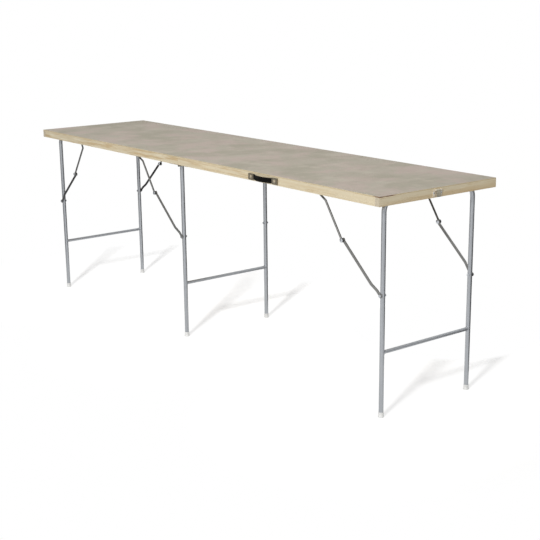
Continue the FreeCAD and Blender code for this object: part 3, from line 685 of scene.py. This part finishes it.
class TABLE_OT_stage(bpy.types.Operator):
    """Set up the floor, the light and the camera"""

    bl_idname = "table.stage"
    bl_label = "Stage"

    key_place = Vector((3.4, -5.0, 3.5))
    key_aim = Vector((-6.1, -3.0, 1.1))
    overhead_place = Vector((0, 0, 4.4))
    overhead_aim = Vector((0, 0, 0.8))
    end_fill_place = Vector((2.2, 2.2, 0.9))
    end_fill_aim = Vector((1.25, 0.3, 0.85))
    end_fill_spread = math.radians(40)
    camera_place = Vector((3.9765, -2.8992, 1.5425))

    def execute(self, context):
        scene = context.scene
        stage = scene.table_stage
        scene.view_settings.view_transform = "Standard"
        self.white_world(scene, stage)
        floor = self.white_floor(scene, stage)
        self.lamp("key", stage.key, stage.key_size, self.key_place, self.key_aim)
        floor_key = self.lamp(
            "floor_key", stage.floor_key, stage.floor_key_size, self.key_place, Vector(), False
        )
        lit = bpy.data.collections.new("floor_only")
        lit.objects.link(floor)
        floor_key.light_linking.receiver_collection = lit
        fill = self.lamp("overhead", stage.fill, stage.fill_size, self.overhead_place, self.overhead_aim)
        fill.data.use_shadow = False
        end_fill = self.lamp(
            "end_fill", stage.end_fill, stage.end_fill_size, self.end_fill_place, self.end_fill_aim, False
        )
        end_fill.data.use_shadow = False
        end_fill.data.spread = self.end_fill_spread
        self.flags()
        self.photo_camera(scene, stage)
        return {"FINISHED"}

    def seen_rays(self, tree):
        """1 for the rays that should meet plain white: the camera's, and mirror and clear ones."""
        path = tree.nodes.new("ShaderNodeLightPath").outputs
        seen = sums(tree, "MAXIMUM", path["Is Camera Ray"], path["Is Glossy Ray"])
        return sums(tree, "MAXIMUM", seen, path["Is Transmission Ray"])

    def white_world(self, scene, stage):
        world = bpy.data.worlds.new("studio")
        world.use_nodes = True
        tree = world.node_tree
        tree.nodes.clear()
        light, white = (
            add_node(tree, "ShaderNodeBackground", Color=flat((1, 1, 1)), Strength=strength).outputs[0]
            for strength in (stage.sky, 1.0)
        )
        surface = mixed_shader(tree, self.seen_rays(tree), light, white)
        add_node(tree, "ShaderNodeOutputWorld", Surface=surface)
        scene.world = world

    def white_floor(self, scene, stage):
        """A pale floor that keeps soft shadows near the table and is plain white further off."""
        half_side = 14
        bounce = 0.435
        gain_along = -0.09
        gain_across = 0.195
        bm = bmesh.new()
        bmesh.ops.create_grid(bm, x_segments=1, y_segments=1, size=half_side)
        mesh = mesh_from(bm, "floor")
        material = bpy.data.materials.new("pale_floor")
        material.use_nodes = True
        tree = material.node_tree
        tree.nodes.clear()
        place = tree.nodes.new("ShaderNodeTexCoord").outputs["Object"]
        spot = add_node(tree, "ShaderNodeSeparateXYZ", Vector=place).outputs
        veil = self.shadow_veil(tree, place, spot["X"], stage.floor_veil)
        seen = self.seen_rays(tree)
        gain = sums(tree, "MULTIPLY_ADD", spot["X"], gain_along, stage.floor_gain)
        gain = sums(tree, "MULTIPLY_ADD", spot["Y"], gain_across, gain)
        level = add_node(tree, "ShaderNodeMix", {"data_type": "FLOAT"}, _0=seen, _2=bounce, _3=gain)
        plain = add_node(tree, "ShaderNodeBsdfDiffuse", Color=level.outputs[0]).outputs[0]
        white = add_node(tree, "ShaderNodeEmission", Color=flat((1, 1, 1)), Strength=1.0).outputs[0]
        above = mixed_shader(tree, sums(tree, "MULTIPLY", seen, veil), plain, white)
        below = tree.nodes.new("ShaderNodeNewGeometry").outputs["Backfacing"]
        clear = tree.nodes.new("ShaderNodeBsdfTransparent").outputs[0]
        add_node(tree, "ShaderNodeOutputMaterial", Surface=mixed_shader(tree, below, above, clear))
        mesh.materials.append(material)
        floor = bpy.data.objects.new("floor", mesh)
        scene.collection.objects.link(floor)
        return floor

    def shadow_veil(self, tree, place, along, held):
        """How much white lies over the floor's shadows.

        It is densest beside each frame, hides more towards the left end, and covers all that is far from
        the feet or past the end of the right frame's shadow.
        """
        feet = [
            Vector(((low.x + high.x) / 2, (low.y + high.y) / 2, 0))
            for name in FRAMES
            for low, high, _ in islands(f"{name}_feet")
        ]
        beside = add_node(tree, "ShaderNodeCombineXYZ", X=along).outputs[0]
        aside = nearest_gap(tree, beside, [Vector((foot.x, 0, 0)) for foot in feet])
        shadow_end = Vector((0.6, 0.75, 0))
        past_end = nearest_gap(tree, place, [shadow_end])
        veil = band(tree, aside, 0.02, 0.34, held, 0.0)
        for more in (
            band(tree, along, 0.6, -1.3, 0.0, 0.35),
            band(tree, nearest_gap(tree, place, feet), 0.6, 0.72, 0.0, 1.0),
            band(tree, past_end, 0.42, 0.48, 1.0, 0.0),
        ):
            veil = sums(tree, "MAXIMUM", veil, more)
        return veil

    def lamp(self, name, power, size, place, aim, mirrored=True):
        light = bpy.data.lights.new(name, "AREA")
        light.energy = power
        light.size = size
        thing = bpy.data.objects.new(name, light)
        thing.location = place
        thing.rotation_euler = (aim - place).to_track_quat("-Z", "Y").to_euler()
        thing.visible_glossy = mirrored
        bpy.context.scene.collection.objects.link(thing)
        return thing

    def flags(self):
        """Dark sheets behind the table and before its left end, flat and upright, that edge the metal."""
        left, right = -5.0, 5.0
        front, back = -4.4, 4.4
        lift, top = 0.003, 2.6
        back_left, back_start = -1.6, 0.42
        front_right, front_end = -0.8, -0.9
        wall_end = 0.6
        behind = corners(back_left, right, back_start, back)
        before = corners(left, front_right, front, front_end)
        self.flag("flag_behind", [(x, y, lift) for x, y in behind])
        self.flag("flag_back_wall", [(x, back, z) for x, z in corners(back_left, right, 0.0, top)])
        self.flag("flag_front", [(x, y, lift) for x, y in before])
        self.flag("flag_left_wall", [(left, y, z) for y, z in corners(front, wall_end, 0.0, top)])

    def flag(self, name, outline):
        """One dark sheet, which only mirrored rays meet."""
        bm = bmesh.new()
        bm.faces.new([bm.verts.new(corner) for corner in outline])
        mesh = mesh_from(bm, name)
        material = bpy.data.materials.new(name)
        material.use_nodes = True
        shader = material.node_tree.nodes["Principled BSDF"]
        grey = bpy.context.scene.table_stage.flag_grey
        shader.inputs["Base Color"].default_value = flat((grey, grey, grey))
        mesh.materials.append(material)
        thing = bpy.data.objects.new(name, mesh)
        thing.visible_camera = False
        thing.visible_diffuse = False
        thing.visible_transmission = False
        thing.visible_shadow = False
        bpy.context.scene.collection.objects.link(thing)

    def photo_camera(self, scene, stage):
        lens = bpy.data.cameras.new("camera")
        lens.sensor_width = 36.0
        lens.lens = stage.lens
        lens.clip_end = 100
        thing = bpy.data.objects.new("camera", lens)
        yaw = math.radians(142.116)
        pitch = math.radians(14.342)
        roll = math.radians(-0.625)
        ahead = Vector(
            (math.cos(yaw) * math.cos(pitch), math.sin(yaw) * math.cos(pitch), -math.sin(pitch))
        )
        right = Vector((math.sin(yaw), -math.cos(yaw), 0))
        up = right.cross(ahead)
        tipped_right = right * math.cos(roll) + up * math.sin(roll)
        tipped_up = up * math.cos(roll) - right * math.sin(roll)
        turn = Matrix((tipped_right, tipped_up, -ahead)).transposed().to_4x4()
        thing.matrix_world = Matrix.Translation(self.camera_place) @ turn
        scene.collection.objects.link(thing)
        scene.camera = thing


class TABLE_OT_top_boards(bpy.types.Operator):
    """Lay the two top boards, with eased edges and a smooth grey face"""

    bl_idname = "table.top_boards"
    bl_label = "Top boards"

    def execute(self, context):
        colours = context.scene.table_colours
        sizes = context.scene.table_sizes
        face = board_face_material()
        edge = board_core_material("board_edge", colours.board_edge, colours.pine, colours.board_edge_dark)
        under_tints = (colours.board_under, colours.board_edge, colours.board_under)
        under = board_core_material("board_under", *under_tints)
        mostly = 0.9

        def pick(side):
            if side.normal.z > mostly:
                return 0
            return 2 if side.normal.z < -mostly else 1

        for half in HALVES:
            eased_node(half + "_top_sheet", sizes.board_ease, [face, edge, under], pick)
        return {"FINISHED"}


class TABLE_OT_rails(bpy.types.Operator):
    """Finish the pine rails and the battens under the boards"""

    bl_idname = "table.rails"
    bl_label = "Rails and battens"

    def execute(self, context):
        ease = context.scene.table_sizes.rail_ease
        long_grain = {
            "left": pine_material("pine_figured", 0.0, 0.95),
            "right": pine_material("pine_plain", 0.0, 0.5),
        }
        cross_grain = pine_material("pine_cross", QUARTER_TURN, 0.6)
        end_grain = end_grain_material()
        for half in HALVES:
            for side in SIDES:
                eased_node(f"{half}_{side}_rail", ease, [long_grain[half]])
            for side in ("end", "fold"):
                eased_node(f"{half}_{side}_rail", ease, [cross_grain, end_grain], self.cut_end)
        for name in FRAMES:
            eased_node(f"{name}_leg_batten", ease, [cross_grain, end_grain], self.cut_end)
        return {"FINISHED"}

    def cut_end(self, face):
        """Picks the end grain for a face across the length of a cross rail."""
        mostly = 0.7
        return 1 if abs(face.normal.y) > mostly else 0


class TABLE_OT_leg_tubes(bpy.types.Operator):
    """Finish the bent leg tubes and their welded crossbars"""

    bl_idname = "table.leg_tubes"
    bl_label = "Leg tubes"

    def execute(self, context):
        weld_radius = context.scene.table_sizes.weld_radius
        run_depth = 0.02
        bend_length = 0.045
        for name in FRAMES:
            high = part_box(f"{name}_leg_frame")[1]
            top_run = high[2] - run_depth
            straight = high[1] - bend_length

            def pick(face):
                middle = face.calc_center_median()
                return 1 if middle.z > top_run and abs(middle.y) < straight else 0

            eased_node(f"{name}_leg_frame", 0.0, [metal("zinc_tube"), metal("zinc_bar")], pick)
            eased_node(f"{name}_crossbar", 0.0, [metal("zinc_bar")])
            self.welds(name, weld_radius)
        return {"FINISHED"}

    def welds(self, name, radius):
        """The weld that runs round each end of a crossbar where it meets the leg."""
        low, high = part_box(f"{name}_crossbar")
        centre = (Vector(low) + Vector(high)) / 2
        bar = (high[2] - low[2]) / 2
        leg_low, leg_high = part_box(f"{name}_leg_frame")
        leg = (leg_high[0] - leg_low[0]) / 2
        leg_side = leg_high[1] - leg
        beads = []
        count = 40
        sides = 8
        ripples = 450
        ripple = 0.22
        for side in (-1, 1):
            path = []
            outs = []
            for k in range(count):
                angle = 2 * math.pi * k / count
                out = Vector((math.cos(angle), 0, math.sin(angle)))
                reach = leg_side - math.sqrt(leg**2 - (bar * out.x) ** 2)
                path.append(Vector((centre.x, side * reach, centre.z)) + out * bar)
                outs.append(out)
            inward = Vector((0, -side, 0))
            bead = swept(path, outs, [inward] * count, circle(radius, sides), True)
            for vert in bead.verts:
                vert.co += noise.noise_vector(vert.co * ripples) * radius * ripple
            beads.append((bead, Matrix()))
        mesh = mesh_from(gather(beads), f"{name}_welds", math.radians(60))
        add_object(f"{name}_welds", mesh, [metal("zinc_tube")], f"{name}_legs")


class TABLE_OT_feet(bpy.types.Operator):
    """Put the white moulded feet on the legs"""

    bl_idname = "table.feet"
    bl_label = "Feet"

    def execute(self, context):
        colours = context.scene.table_colours
        lip = context.scene.table_sizes.foot_lip
        white = moulded_material("white_foot", colours.foot, 0.45, 0.5, 900.0, 0.00008)
        for name in FRAMES:
            caps = []
            for low, high, _ in islands(f"{name}_feet"):
                centre = (low + high) / 2
                cap = self.cap((high.x - low.x) / 2, high.z - low.z, lip)
                caps.append((cap, Matrix.Translation((centre.x, centre.y, low.z))))
            mesh = mesh_from(gather(caps), f"{name}_feet_form", math.radians(40))
            add_object(f"{name}_feet_caps", mesh, [white], f"{name}_legs", [f"{name}_feet"])
        return {"FINISHED"}

    def cap(self, radius, height, lip):
        """A turned cap with a broad sole, a waist and a rolled rim round the tube."""
        bore = radius - 0.002
        rim = radius - 0.0007
        sole = 0.0052
        seat = 0.003
        profile = [
            (0, 0),
            (radius - lip, 0),
            (radius - lip * 0.3, lip * 0.3),
            (radius, lip),
            (radius, sole),
            (radius - 0.0006, 0.0064),
            (radius - 0.0011, 0.0085),
            (rim - 0.0006, height - 0.0042),
            (rim, height - 0.0034),
            (rim, height - 0.0008),
            (rim - 0.0005, height),
            (bore + 0.0003, height),
            (bore, height - 0.0004),
            (bore, seat),
            (0, seat),
        ]
        return turned(profile, 40)


class TABLE_OT_braces(bpy.types.Operator):
    """Finish the jointed braces and rivet their knees"""

    bl_idname = "table.braces"
    bl_label = "Braces"

    def execute(self, context):
        sizes = context.scene.table_sizes
        links = [node for node in NODES if node.endswith("_link")]
        if not links:
            raise RuntimeError("the frame has no brace links")
        for node in links:
            # The left back links and the left front lower link take a near-black copy of the brace steel:
            # painted shade
            if node.startswith("left_back") or node == "left_front_lower_link":
                steel = "black_brace_steel"
            else:
                steel = "brace_rod" if node.endswith("_upper_link") else "brace_steel"
            eased_node(node, sizes.metal_ease, [metal(steel)])
        for node in links:
            if node.endswith("_lower_link"):
                self.knee_rivet(node, sizes.knee_dome)
        return {"FINISHED"}

    def knee_rivet(self, node, dome):
        """The domed ends of a knee's rivet: inside on the lower link, outside on the upper one."""
        upper = node.replace("_lower_", "_upper_")
        low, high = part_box(node)
        up_low, up_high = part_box(upper)
        eye = 0.008
        radius = 0.0082
        proud = 0.0043
        front = low[1] < 0
        inner = up_high[1] if front else up_low[1]
        knee_x = high[0] - eye if node.startswith("left") else low[0] + eye
        knee_z = up_low[2] + eye
        inward = Vector((0, 1 if front else -1, 0))
        near_knee = [
            point.co.y
            for point in NODES[upper].data.vertices
            if math.hypot(point.co.x - knee_x, point.co.z - knee_z) < eye
        ]
        outer = min(near_knee) if front else max(near_knee)
        profile = [
            (0, dome),
            (radius * 0.4, dome * 0.93),
            (radius * 0.76, dome * 0.62),
            (radius, 0.0004),
            (radius, 0),
            (0, 0),
        ]
        inside = Vector((knee_x, inner, knee_z)) + inward * proud
        outside = Vector((knee_x, outer, knee_z))
        for carrier, seat, way in ((node, inside, inward), (upper, outside, -inward)):
            head = gather([(turned(profile, 28), Matrix.Translation(seat) @ facing(way))])
            mesh = mesh_from(head, carrier + "_rivet")
            add_object(carrier + "_rivet", mesh, [metal("bright_zinc")], BODY_OF[carrier])


class TABLE_OT_carrying_strap(bpy.types.Operator):
    """Fit the black carrying strap and its plated caps"""

    bl_idname = "table.carrying_strap"
    bl_label = "Carrying strap"

    def execute(self, context):
        sizes = context.scene.table_sizes
        colours = context.scene.table_colours
        for side in HALVES:
            eased_node(f"handle_cap_{side}", sizes.cap_ease, [metal("cap_plate")])
        black = moulded_material("black_strap", colours.strap, 0.6, 0.06, 1500.0, 0.00012)
        mesh = mesh_from(self.strap(sizes.strap_bead), "strap_form", math.radians(50))
        add_object("carrying_strap", mesh, [black], "right_half", ["handle_strap"])
        return {"FINISHED"}

    def strap(self, bead):
        """A moulded band that lies flat under its caps and bows out between them."""
        low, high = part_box("handle_strap")
        cap_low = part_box("handle_cap_left")
        cap_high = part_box("handle_cap_right")
        thick = 0.0035
        middle = (low[0] + high[0]) / 2
        half = (cap_high[0][0] - cap_low[1][0]) / 2
        rise = high[1] - low[1] - thick
        radius = half**2 / (2 * rise) + rise / 2
        flat_y = high[1] - thick / 2
        tuck = 0.001
        centre_y = flat_y + radius - rise
        path = [Vector((low[0], flat_y, 0)), Vector((middle - half - tuck, flat_y, 0))]
        outward = Vector((0, -1, 0))
        ups = [outward, outward]
        reach = math.asin(half / radius)
        count = 28
        for k in range(count + 1):
            angle = -reach + 2 * reach * k / count
            out = Vector((math.sin(angle), -math.cos(angle), 0))
            path.append(Vector((middle, centre_y, 0)) + out * radius)
            ups.append(out)
        path += [Vector((middle + half + tuck, flat_y, 0)), Vector((high[0], flat_y, 0))]
        ups += [outward, outward]
        width = (high[2] - low[2]) / 2
        centre_z = (high[2] + low[2]) / 2
        path = [point + Vector((0, 0, centre_z)) for point in path]
        half_thick = thick / 2
        soft = 0.0006
        bead_top = 0.0022
        bead_foot = 0.0028
        front = [
            (-width, -half_thick + soft),
            (-width, half_thick - soft),
            (-width + soft, half_thick),
            (-width + bead_top, half_thick),
            (-width + bead_foot, half_thick - bead),
            (width - bead_foot, half_thick - bead),
            (width - bead_top, half_thick),
            (width - soft, half_thick),
            (width, half_thick - soft),
            (width, -half_thick + soft),
            (width - soft, -half_thick),
            (-width + soft, -half_thick),
        ]
        return swept(path, [Vector((0, 0, 1))] * len(path), ups, front, False)


class TABLE_OT_latch(bpy.types.Operator):
    """Finish the latch on one end and its keeper on the other"""

    bl_idname = "table.latch"
    bl_label = "Latch and keeper"

    def execute(self, context):
        ease = context.scene.table_sizes.metal_ease
        for node in ("latch_base", "latch_keeper"):
            eased_node(node, ease, [metal("latch_plate")])
        # The lowest strip of the lever takes the darker dull steel: painted shade under the lever's lip
        painted_shade_height = 0.004
        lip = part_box("latch_lever")[0][2] + painted_shade_height

        def pick(face):
            return 1 if face.calc_center_median().z < lip else 0

        eased_node("latch_lever", ease, [metal("lever_plate"), metal("dull_steel")], pick)
        eased_node("latch_pin", ease, [metal("bright_zinc")])
        return {"FINISHED"}


class TABLE_OT_hinges(bpy.types.Operator):
    """Finish the hinges at the fold and the saddles that hold the leg frames"""

    bl_idname = "table.hinges"
    bl_label = "Hinges and saddles"

    def execute(self, context):
        ease = context.scene.table_sizes.metal_ease
        for half in HALVES:
            for side in SIDES:
                eased_node(f"{half}_hinge_leaf_{side}", ease, [metal("dull_steel")])
        eased_node("hinge_pins", ease, [metal("bright_zinc")])
        for name in FRAMES:
            eased_node(f"{name}_saddles", ease, [metal("dull_steel")])
        return {"FINISHED"}


class TABLE_OT_fixings(bpy.types.Operator):
    """Drive the screws, with cross recesses, and fit the brace bolts"""

    bl_idname = "table.fixings"
    bl_label = "Screws and bolts"

    def execute(self, context):
        bolt_ease = context.scene.table_sizes.bolt_ease
        for node in NODES:
            if node.endswith(("saddle_screws", "hinge_screws")):
                self.screws(node, Vector((0, 0, -1)))
        self.screws("handle_screws", Vector((0, -1, 0)))
        self.screws("latch_screws", Vector((1, 0, 0)))
        self.screws("keeper_screws", Vector((-1, 0, 0)))
        for half in HALVES:
            self.screws(f"{half}_brace_screws")
        for name in FRAMES:
            eased_node(f"{name}_brace_bolts", bolt_ease, [metal("bright_zinc")])
        return {"FINISHED"}

    def screws(self, node, faced=None):
        """Replaces a group of screws by ones with a domed, cross-recessed head.

        The heads face one way, or the middle of the table.
        """
        made = []
        for low, high, points in islands(node):
            way = Vector((0, 1 if low.y < 0 else -1, 0)) if faced is None else faced
            axis = max(range(3), key=lambda i: abs(way[i]))
            across = [i for i in range(3) if i != axis]
            centre = (low + high) / 2
            radius = max(high[i] - low[i] for i in across) / 2
            spans = [(p[axis], math.hypot(*(p[i] - centre[i] for i in across))) for p in points]
            rim = [place for place, span in spans if span > radius * 0.9]
            seat = centre.copy()
            seat[axis] = min(rim) if way[axis] > 0 else max(rim)
            tall = max(rim) - min(rim)
            shank = min(span for _, span in spans if span > radius * 0.1)
            depth = high[axis] - low[axis] - tall
            made.append((self.screw(radius, tall, shank, depth), Matrix.Translation(seat) @ facing(way)))
        mesh = mesh_from(gather(made), node + "_form", math.radians(38))
        plating = metal("cap_screw" if node == "handle_screws" else "bright_zinc")
        add_object(node + "_driven", mesh, [plating], BODY_OF[node], [node])

    def screw(self, radius, tall, shank, depth):
        """A screw with a pan head; a cross is sunk into its crown."""
        profile = [
            (0, tall),
            (radius * 0.45, tall * 0.985),
            (radius * 0.72, tall * 0.88),
            (radius * 0.9, tall * 0.66),
            (radius * 0.985, tall * 0.3),
            (radius, tall * 0.08),
            (radius, 0),
            (shank, 0),
            (shank, -depth * 0.82),
            (0, -depth),
        ]
        body = bpy.data.meshes.new("screw_body")
        blank = turned(profile, 32)
        bmesh.ops.recalc_face_normals(blank, faces=blank.faces)
        blank.to_mesh(body)
        blank.free()
        cutter = bpy.data.meshes.new("screw_cross")
        cross = bmesh.new()
        arm = radius * 0.58
        slim = radius * 0.13
        taper = 0.55
        for turn in (0, QUARTER_TURN):
            bar = bmesh.ops.create_cube(cross, size=1.0)["verts"]
            for vert in bar:
                reach = 2 * arm * (taper if vert.co.z < 0 else 1.0)
                rise = vert.co.z * tall * 1.1 + tall * 0.95
                vert.co = Vector((vert.co.x * reach, vert.co.y * 2 * slim, rise))
            bmesh.ops.rotate(cross, verts=bar, cent=(0, 0, 0), matrix=Matrix.Rotation(turn, 3, "Z"))
        cross.to_mesh(cutter)
        cross.free()
        head = bpy.data.objects.new("screw_body", body)
        tool = bpy.data.objects.new("screw_cross", cutter)
        for thing in (head, tool):
            bpy.context.scene.collection.objects.link(thing)
        sink = head.modifiers.new("cross", "BOOLEAN")
        sink.object = tool
        sink.operation = "DIFFERENCE"
        sink.solver = "EXACT"
        sink.use_self = True
        bpy.context.view_layer.update()
        sunk = head.evaluated_get(bpy.context.evaluated_depsgraph_get())
        done = bpy.data.meshes.new_from_object(sunk)
        bm = bmesh.new()
        bm.from_mesh(done)
        for thing in (head, tool):
            bpy.data.objects.remove(thing)
        for mesh in (body, cutter, done):
            bpy.data.meshes.remove(mesh)
        return bm


OPERATORS = (
    TABLE_OT_stage,
    TABLE_OT_top_boards,
    TABLE_OT_rails,
    TABLE_OT_leg_tubes,
    TABLE_OT_feet,
    TABLE_OT_braces,
    TABLE_OT_carrying_strap,
    TABLE_OT_latch,
    TABLE_OT_hinges,
    TABLE_OT_fixings,
)


class TABLE_PT_pieces(bpy.types.Panel):
    """Lists the pieces of the table and the sizes and colours behind them"""

    bl_label = "Folding table"
    bl_idname = "TABLE_PT_pieces"
    bl_space_type = "VIEW_3D"
    bl_region_type = "UI"
    bl_category = "Table"

    def draw(self, context):
        column = self.layout.column()
        for group in (context.scene.table_sizes, context.scene.table_colours, context.scene.table_stage):
            for name in group.bl_rna.properties.keys():
                if name not in ("rna_type", "name"):
                    column.prop(group, name)
        for operator in OPERATORS:
            column.operator(operator.bl_idname)


CLASSES = (TableColours, TableSizes, TableStage, *OPERATORS, TABLE_PT_pieces)


def register():
    for item in CLASSES:
        bpy.utils.register_class(item)
    bpy.types.Scene.table_colours = bpy.props.PointerProperty(type=TableColours)
    bpy.types.Scene.table_sizes = bpy.props.PointerProperty(type=TableSizes)
    bpy.types.Scene.table_stage = bpy.props.PointerProperty(type=TableStage)


def unregister():
    del bpy.types.Scene.table_stage
    del bpy.types.Scene.table_sizes
    del bpy.types.Scene.table_colours
    for item in reversed(CLASSES):
        bpy.utils.unregister_class(item)


def main():
    register()
    bpy.ops.table.stage()
    bpy.ops.table.top_boards()
    bpy.ops.table.rails()
    bpy.ops.table.leg_tubes()
    bpy.ops.table.feet()
    bpy.ops.table.braces()
    bpy.ops.table.carrying_strap()
    bpy.ops.table.latch()
    bpy.ops.table.hinges()
    bpy.ops.table.fixings()


if __name__ == "__main__":
    main()
